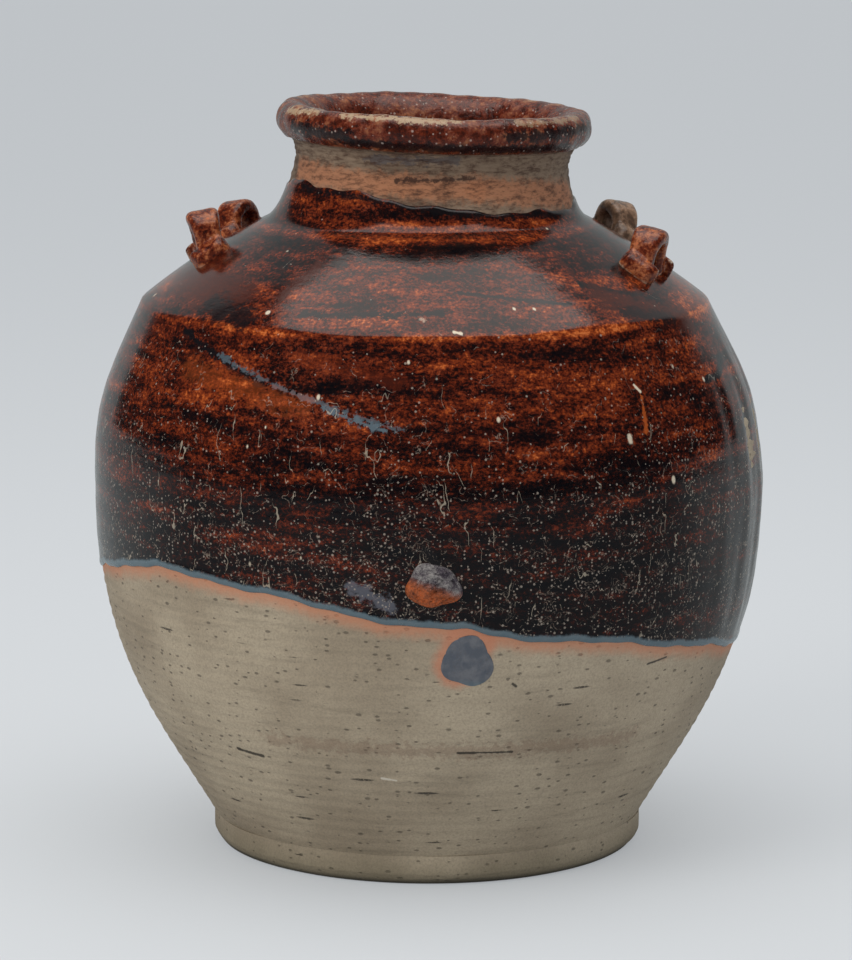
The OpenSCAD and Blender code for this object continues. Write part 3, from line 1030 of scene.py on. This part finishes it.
class Look(Wiring):
    """A finish: a material, the places that its patterns read and the colour laid so far."""

    slot: Finish
    depth: float
    shine: float = 0.5

    def __init__(self, effects: Effects) -> None:
        """Starts the material and paints it.

        Args:
            effects: The shared groups.
        """
        self.material = bpy.data.materials.new(self.slot.value)
        self.material.use_nodes = True
        super().__init__(self.material.node_tree)
        self.effects = effects
        self.here = self.add("TexCoord")["Object"]
        self.azimuth, self.height = self.use(effects.place, position=self.here)[:2]
        self.above_edge = self.add("Attribute", attribute_name="above_edge")["Fac"]
        self.ragged = self.noise(260.0, 5.0, 0.75)
        self.colour: Input = BLACK
        self.rough: Input = 0.5
        self.bump: Input = 0.0
        self.paint()
        relief = self.add("Bump", {"Distance": self.depth, "Height": self.bump})[0]
        shader = self.tree.nodes["Principled BSDF"]
        shader.inputs["Specular IOR Level"].default_value = self.shine
        for name, value in (("Base Color", self.colour), ("Roughness", self.rough), ("Normal", relief)):
            self.feed(shader.inputs[name], value)

    def paint(self) -> None:
        """Lays the colours and sets the roughness and the bump."""
        raise NotImplementedError

    def noise(self, scale: float, detail: float = 3.0, rough: float = 0.5, flat: float = 1.0) -> Socket:
        """Adds a noise texture, flattened by a factor.

        Args:
            scale: Its scale.
            detail: How many finer layers it has.
            rough: How strong they are.
            flat: How much closer the pattern is upwards than sideways.

        Returns:
            Its value.
        """
        where = self.here if flat == 1.0 else self.stretched(self.here, (1, 1, flat))
        feeds = {"Vector": where, "Scale": scale, "Detail": detail, "Roughness": rough}
        return self.add("TexNoise", feeds)[0]

    def specks(self, scale: float, size: float, share: Input, stretch: Sequence[float] = ()) -> Socket:
        """Returns a mask of small grains, stretched if asked."""
        where = self.stretched(self.here, stretch) if stretch else self.here
        return self.use(self.effects.specks, position=where, scale=scale, size=size, share=share)[0]

    def lay(self, colour: Input, mask: Input, share: float = 1.0) -> None:
        """Lays a colour over those before it."""
        mask = mask if share == 1.0 else self.times(mask, share)
        self.colour = self.blend(mask, self.colour, colour)

    def streak(self, mark: Mark, span: float) -> Socket:
        """Finds the mask of a mark.

        Args:
            mark: The mark.
            span: Millimetres of wall per degree.

        Returns:
            Its mask.
        """
        sizes = {name: value for name, value in vars(mark).items() if name not in ("colour", "share")}
        given = {"azimuth": self.azimuth, "height": self.height, "span": span, "noise": self.ragged}
        return self.use(self.effects.mark, **given, **sizes)[0]

    def marks(self, marks: Sequence[Mark], span: float) -> None:
        """Lays marks one after another."""
        for mark in marks:
            self.lay(mark.colour, self.streak(mark, span), mark.share)


class ClayLook(Look):
    """Grey-tan stoneware with drag marks, pits and an orange flash below the glaze."""

    slot = Finish.CLAY
    depth = 0.0004
    shine = 0.35

    def paint(self) -> None:
        """Lays cloudy clay, drag marks, pits, the flash, the foot darker towards the bottom with a painted
        shadow along its lowest edge, and the tan neck.
        """
        cloud = self.noise(16.0, 4.0, 0.55)
        grain = self.noise(900.0, 3.0, 0.7)
        bands = self.noise(26.0, 4.0, 0.6, 9)
        self.colour = self.blend(self.between(cloud, 0.3, 0.7), (0.285, 0.228, 0.158), (0.4, 0.33, 0.235))
        self.lay((0.16, 0.13, 0.09), self.between(bands, 0.52, 0.75, 0.0, 0.35))
        self.lay((0.13, 0.11, 0.085), self.between(grain, 0.35, 0.75, 0.0, 0.4))
        drag = self.times(self.specks(260.0, 0.17, 0.3, (0.12, 0.12, 1.0)), self.between(grain, 0.3, 0.5))
        pits = self.specks(420.0, 0.3, 0.4, (0.5, 0.5, 1.0))
        self.lay((0.035, 0.03, 0.025), drag, 0.85)
        self.lay((0.05, 0.04, 0.03), pits, 0.6)
        below = self.reckon("LESS_THAN", self.above_edge, 40.0)
        flash = self.times(self.between(self.raised(self.above_edge, self.ragged, 7.0), -5.0, 3.5), below)
        self.lay((0.48, 0.19, 0.1), flash, 0.75)
        self.lay(FLASH, self.between(self.streak(HALO, 2.8), 0.1, 0.8), 0.75)
        # The foot gets darker towards the bottom, from 26 mm down to 6 mm.
        low = self.between(self.raised(self.height, cloud, 12.0), 6.0, 26.0, 0.55, 0.0)
        self.lay((0.12, 0.105, 0.065), low)
        self.marks(CLAY_MARKS, 2.5)
        # Painted shadow: a near-black band along the lowest 4 mm of the foot, where it meets the floor.
        self.lay((0.03, 0.027, 0.02), self.between(self.height, 0.5, 4.0, 0.85, 0.0))
        wall = self.colour
        self.colour = self.blend(self.between(cloud, 0.35, 0.65), (0.13, 0.085, 0.055), (0.24, 0.17, 0.115))
        self.marks(NECK_MARKS, 1.25)
        self.lay((0.055, 0.022, 0.012), self.between(self.noise(150.0, 6.0, 0.78, 3), 0.42, 0.66, 0.0, 0.85))
        self.colour = self.blend(self.between(self.height, 314.0, 316.0), wall, self.colour)
        self.rough = self.between(grain, 0.2, 0.8, 0.62, 0.85)
        self.bump = self.minus(self.weigh(grain, 0.5, bands, 0.5), self.plus(drag, self.times(pits, 0.7)))


class BodyLook(Look):
    """Iron-brown glaze, mottled in bands, dark below and scratched, with a slate lower rim."""

    slot = Finish.BODY
    depth = 0.0003
    shine = 0.44
    heat = (
        (90, 0.1), (150, 0.16), (180, 0.24), (200, 0.31), (215, 0.39), (228, 0.47), (245, 0.5),
        (262, 0.44), (269, 0.48), (272, 0.8), (274.5, 0.5), (285, 0.52), (304, 0.46), (308, 0.3),
        (310.5, 0.68), (312.5, 0.4), (317, 0.56), (321, 0.42), (325, 0.56), (340, 0.5),
    )  # fmt: skip
    glow = (
        (0.0, (0.002, 0.002, 0.003)), (0.28, (0.008, 0.003, 0.003)), (0.45, (0.036, 0.006, 0.003)),
        (0.6, (0.095, 0.014, 0.005)), (0.76, (0.17, 0.028, 0.007)), (0.92, (0.34, 0.068, 0.013)),
        (1.0, (0.46, 0.12, 0.03)),
    )  # fmt: skip

    def paint(self) -> None:
        """Lays the mottles, the marks, the wear and the slate rim."""
        slow = self.noise(17.0, 5.0, 0.6, 7)
        slow.node.inputs["Distortion"].default_value = 0.3
        mid = self.noise(120.0, 5.0, 0.7, 1.9)
        fine = self.noise(560.0, 3.0, 0.7, 1.3)
        heat = self.raised(self.curve(self.height, self.heat), self.minus(slow, 0.5), 1.5)
        heat = self.raised(heat, self.minus(mid, 0.5), 1.1)
        self.colour = self.ramp(self.raised(heat, self.minus(fine, 0.5), 1.5, True), self.glow)
        self.marks(BELLY_MARKS, 2.5)
        crowd = self.between(self.height, 160.0, 250.0, 0.75, 0.12)
        crowd = self.times(crowd, self.between(self.height, 262.0, 274.0, 1.0, 0.06))
        few = self.times(self.between(self.noise(40.0), 0.35, 0.65, 0.3, 1.0), crowd)
        scratches = self.effects.scratches
        scratch = self.use(scratches, position=self.here, share=self.times(few, 0.62), width=0.17)[0]
        slanting = self.stretched(self.here, (1, 1, 0.45), (0, 0, 0.7))
        long_one = self.use(scratches, position=slanting, share=0.035, width=0.16)[0]
        speck = self.specks(620.0, 0.36, few)
        grit = self.specks(120.0, 0.15, 0.05, (1, 1, 0.6))
        self.lay((0.3, 0.235, 0.18), self.times(scratch, self.between(fine, 0.4, 0.62, 0.06, 0.6)))
        self.lay(CREAM, self.times(long_one, self.between(self.height, 235.0, 262.0, 0.4, 0.0)))
        self.lay((0.4, 0.34, 0.28), speck, 0.5)
        self.lay(CREAM, grit, 0.9)
        edge = self.between(self.raised(self.above_edge, self.ragged, -3.5), 0.6, 2.6, 1.0, 0.0)
        self.lay(self.blend(mid, (0.06, 0.1, 0.125), (0.13, 0.16, 0.175)), edge)
        bump = self.raised(self.weigh(self.noise(22.0, 3.0, 0.6, 26), 0.12, mid, 0.35), fine, 0.1)
        bump = self.raised(bump, self.reckon("MAXIMUM", scratch, speck), -0.12)
        self.bump = self.raised(bump, grit, 0.8)
        self.rough = self.raised(self.between(mid, 0.3, 0.75, 0.07, 0.2), scratch, 0.2)


class RimLook(Look):
    """Brown glaze on the rim, worn to cream on the crest and speckled inside the mouth."""

    slot = Finish.RIM
    depth = 0.0009

    def paint(self) -> None:
        """Lays the mottles, the marks, the worn crest and specks, level with the tipped rim."""
        self.height = self.raised(self.height, self.add("SeparateXYZ", {0: self.here})[0], RIM_DROP)
        mid = self.noise(110.0, 5.0, 0.7)
        fine = self.noise(520.0, 3.0, 0.7)
        stops = ((0.35, BLACK), (0.5, DARK_RED), (0.6, RED_BROWN), (0.7, (0.24, 0.08, 0.03)), (0.8, ORANGE))
        self.colour = self.ramp(self.weigh(mid, 0.75, fine, 0.4), stops)
        self.marks(RIM_MARKS, 1.3)
        self.lay(WORN, self.between(self.raised(self.height, mid, 10.0), 373.0, 375.0, 0.0, 0.65))
        self.lay((0.45, 0.37, 0.32), self.specks(620.0, 0.4, 0.22), 0.5)
        self.rough = self.between(mid, 0.35, 0.65, 0.12, 0.42)
        self.bump = self.weigh(mid, 0.7, fine, 0.25)


class LugLook(Look):
    """Orange-brown glaze on the lugs, cream on the edges that is partly worn and partly a painted highlight,
    and a painted pale grey highlight in the creases.
    """

    slot = Finish.LUG
    depth = 0.0006

    def paint(self) -> None:
        """Lays the mottles, tan on the right rear lug, cream edges that are partly worn and partly a painted
        highlight, and painted grey highlights in the creases.
        """
        mid = self.noise(150.0, 5.0, 0.65)
        fine = self.noise(600.0, 3.0, 0.7)
        light = (0.3, 0.09, 0.03)
        stops = ((0.35, BLACK), (0.46, DARK_RED), (0.56, RED_BROWN), (0.68, light), (0.8, ORANGE))
        self.colour = self.ramp(self.weigh(mid, 0.8, fine, 0.35), stops)
        tan = self.blend(self.between(mid, 0.4, 0.6), (0.09, 0.06, 0.04), (0.25, 0.17, 0.11))
        self.lay(tan, self.between(self.azimuth, 95.0, 110.0, 0.0, 0.8))
        bent = self.add("NewGeometry")["Pointiness"]
        # Cream on the sharpest edges: partly worn glaze and partly a painted highlight along the edges.
        self.lay(CREAM, self.times(self.between(bent, 0.52, 0.56), self.between(mid, 0.42, 0.58)), 0.85)
        # Painted highlight: pale grey in the creases between strap and pads, standing in for the glaze's
        # reflection there.
        crease_highlight = self.times(self.between(bent, 0.485, 0.45), self.between(fine, 0.35, 0.6))
        self.lay((0.36, 0.37, 0.4), crease_highlight, 0.7)
        self.rough = self.between(mid, 0.35, 0.7, 0.1, 0.34)
        self.bump = self.weigh(mid, 0.7, fine, 0.2)


class SplashLook(Look):
    """Thin slate glaze, bluer at its rim."""

    slot = Finish.SPLASH
    depth = 0.0004

    def paint(self) -> None:
        """Lays slate mottles and the bluer lower rim."""
        mid = self.noise(160.0, 4.0, 0.6)
        fine = self.noise(800.0, 3.0, 0.6)
        self.colour = self.blend(self.between(mid, 0.35, 0.65), (0.075, 0.085, 0.105), (0.125, 0.13, 0.145))
        self.lay((0.09, 0.08, 0.08), self.between(fine, 0.5, 0.75, 0.0, 0.5))
        self.lay((0.1, 0.17, 0.2), self.between(self.height, 108.0, 114.0, 0.6, 0.0))
        self.rough = self.between(mid, 0.3, 0.7, 0.3, 0.5)
        self.bump = self.plus(mid, self.times(fine, 0.4))


class KilnLook(Look):
    """Stray kiln clay, glazed grey on top and burnt orange below."""

    slot = Finish.KILN
    depth = 0.0009

    def paint(self) -> None:
        """Lays burnt clay and the grey glaze above a slanting ragged line."""
        mid = self.noise(180.0, 5.0, 0.7)
        fine = self.noise(700.0, 3.0, 0.7)
        line = self.raised(self.plus(self.height, self.azimuth), mid, 7.0)
        upper = self.between(line, 161.0, 166.5)
        stops = ((0.4, DARK_RED), (0.52, (0.25, 0.06, 0.015)), (0.7, ORANGE))
        self.colour = self.ramp(self.weigh(mid, 0.6, fine, 0.5), stops)
        self.lay(self.blend(self.between(mid, 0.4, 0.65), (0.05, 0.04, 0.05), (0.24, 0.22, 0.21)), upper)
        self.rough = self.between(upper, 0.0, 1.0, 0.55, 0.25)
        self.bump = self.plus(mid, self.times(fine, 0.5))


@dataclass
class Studio:
    """Pale floor, overhead softbox, a dim front and the camera of the photograph."""

    floor_size: float = 40.0
    box_size: tuple[float, float] = (1.7, 1.5)
    box_place: Triple = (0.06, -0.08, 1.75)
    box_power: float = 15.0
    panel_size: float = 1.6
    panel_place: Triple = (-1.9, -1.7, 1.7)
    panel_turn: Triple = (math.radians(55), 0, math.radians(-48))
    panel_power: float = 31.0
    camera_place: Triple = (0.0, -2.150, 0.555)
    camera_turn: Triple = (math.radians(80.12), 0.0, 0.0)
    lens: float = 163.65

    def floor(self) -> None:
        """Lays the floor, which is paler to the camera and darker in the glaze."""
        floor = Bench.start("studio_floor", bpy.ops.mesh.primitive_plane_add, size=self.floor_size)
        look = bpy.data.materials.new("studio_floor")
        look.use_nodes = True
        w = Wiring(look.node_tree)
        shader = look.node_tree.nodes["Principled BSDF"]
        sizes = {"Base Color": (0.64, 0.665, 0.69), "Roughness": 0.9, "Specular IOR Level": 0.1}
        for name, value in sizes.items():
            w.feed(shader.inputs[name], value)
        rays = w.add("LightPath")
        plain = w.add("Emission", {"Color": (0.6, 0.622, 0.642)})[0]
        deep = w.add("SeparateXYZ", {0: w.add("TexCoord")["Object"]})[1]
        dark = w.blend(w.between(deep, -0.25, 0.35), (0.06, 0.063, 0.066), (0.34, 0.37, 0.37))
        dim = w.add("Emission", {"Color": dark})[0]
        seen = w.times(rays["Is Camera Ray"], 0.5)
        seen = w.add("MixShader", {0: seen, 1: shader.outputs[0], 2: plain})[0]
        mirrored = w.times(rays["Is Glossy Ray"], 0.8)
        mirrored = w.add("MixShader", {0: mirrored, 1: seen, 2: dim})[0]
        w.feed(look.node_tree.nodes["Material Output"].inputs[0], mirrored)
        floor.data.materials.append(look)

    def lamps(self) -> None:
        """Hangs the softbox and the panel at the left."""
        box = Bench.start("overhead_softbox", bpy.ops.object.light_add, type="AREA", location=self.box_place)
        box.data.shape = "RECTANGLE"
        box.data.size = self.box_size[0]
        box.data.size_y = self.box_size[1]
        box.data.energy = self.box_power
        box.data.color = (1.0, 0.965, 0.92)
        settings = {"type": "AREA", "location": self.panel_place, "rotation": self.panel_turn}
        panel = Bench.start("left_panel", bpy.ops.object.light_add, **settings)
        panel.data.size = self.panel_size
        panel.data.energy = self.panel_power
        panel.data.color = (1.0, 0.975, 0.93)
        panel.visible_glossy = False

    def room(self) -> None:
        """Sets the room's light, and in the glaze a dark front before a paler back."""
        world = bpy.data.worlds.new("studio")
        bpy.context.scene.world = world
        world.use_nodes = True
        w = Wiring(world.node_tree)
        glow = world.node_tree.nodes["Background"]
        rays = w.add("LightPath")
        x, y, z = w.add("SeparateXYZ", {0: w.add("TexCoord")["Generated"]})
        turn = w.reckon("ARCTAN2", x, y)
        left = w.between(turn, math.radians(-42), math.radians(-36), 0.0, 1.0)
        right = w.between(turn, math.radians(47), math.radians(54), 1.0, 0.0)
        behind = w.times(w.times(left, right), w.between(z, 0.75, 0.9, 1.0, 0.0))
        mirror = w.blend(behind, (0.02, 0.02, 0.022), (0.36, 0.39, 0.39))
        plain = w.blend(rays["Is Camera Ray"], (0.7, 0.72, 0.74), (0.55, 0.575, 0.595))
        w.feed(glow.inputs["Color"], w.blend(rays["Is Glossy Ray"], plain, mirror))
        glow.inputs["Strength"].default_value = 1.0

    def camera(self) -> None:
        """Sets up the photograph's view."""
        settings = {"location": self.camera_place, "rotation": self.camera_turn}
        camera = Bench.start("front_camera", bpy.ops.object.camera_add, **settings)
        camera.data.lens = self.lens
        camera.data.sensor_width = 36.0
        camera.data.clip_end = 60.0
        bpy.context.scene.camera = camera

    def build(self) -> None:
        """Builds the studio."""
        for part in (self.floor, self.lamps, self.room, self.camera):
            part()
        bpy.context.scene.view_settings.view_transform = "Standard"


def main() -> None:
    """Builds the jar from the foot up, then the studio."""
    logging.basicConfig(level=logging.INFO, format="%(name)s: %(message)s")
    effects = Effects()
    clay = ClayLook(effects).material
    Foot().build(clay)
    seam = float(OUTER.place_at_height(98.0))
    for section in (
        ClaySection("lower_wall", 70, 35, low=Place.FOOT.value, high=seam, lute_low=0.0),
        ClaySection("belly_wall", 56, 28, low=seam, high=Place.BELLY.value),
        ClaySection("upper_wall", 48, 24, low=Place.BELLY.value, high=Place.RIDGE.value),
        ClaySection("shoulder", 36, 18, low=Place.RIDGE.value, high=Place.NECK_ROOT.value),
        ClaySection("neck", 48, 24, low=Place.NECK_ROOT.value, high=Place.NECK_TOP.value, lute_high=0.0),
    ):
        section.build(clay)
    RimRoll().build(clay)
    BodyGlaze().build(BodyLook(effects).material)
    RimGlaze().build(RimLook(effects).material)
    lug_glaze = LugLook(effects).material
    for number, name in enumerate(("front_left", "front_right", "rear_left", "rear_right")):
        Lug(name, 3.7 * number + 1.3).build(lug_glaze)
    lobes = [(2, 0.06, 0.8), (3, 0.08, 2.0), (5, 0.03, 1.0)]
    splash = Blob("glaze_patch", "splash_of_glaze", 6.6, 122.0, (11.5, 13.0, 0.8), lobes, 0.1, Finish.SPLASH)
    splash.build(SplashLook(effects).material)
    lobes = [(2, 0.08, 0.4), (3, 0.07, 1.0), (5, 0.05, 2.0)]
    lump = Blob("kiln_lump", "stray_kiln_lump", 0.7, 159.5, (12.0, 11.0, 4.6), lobes, 0.45, Finish.KILN, 0.7)
    lump.build(KilnLook(effects).material)
    Studio().build()


if __name__ == "__main__":
    main()
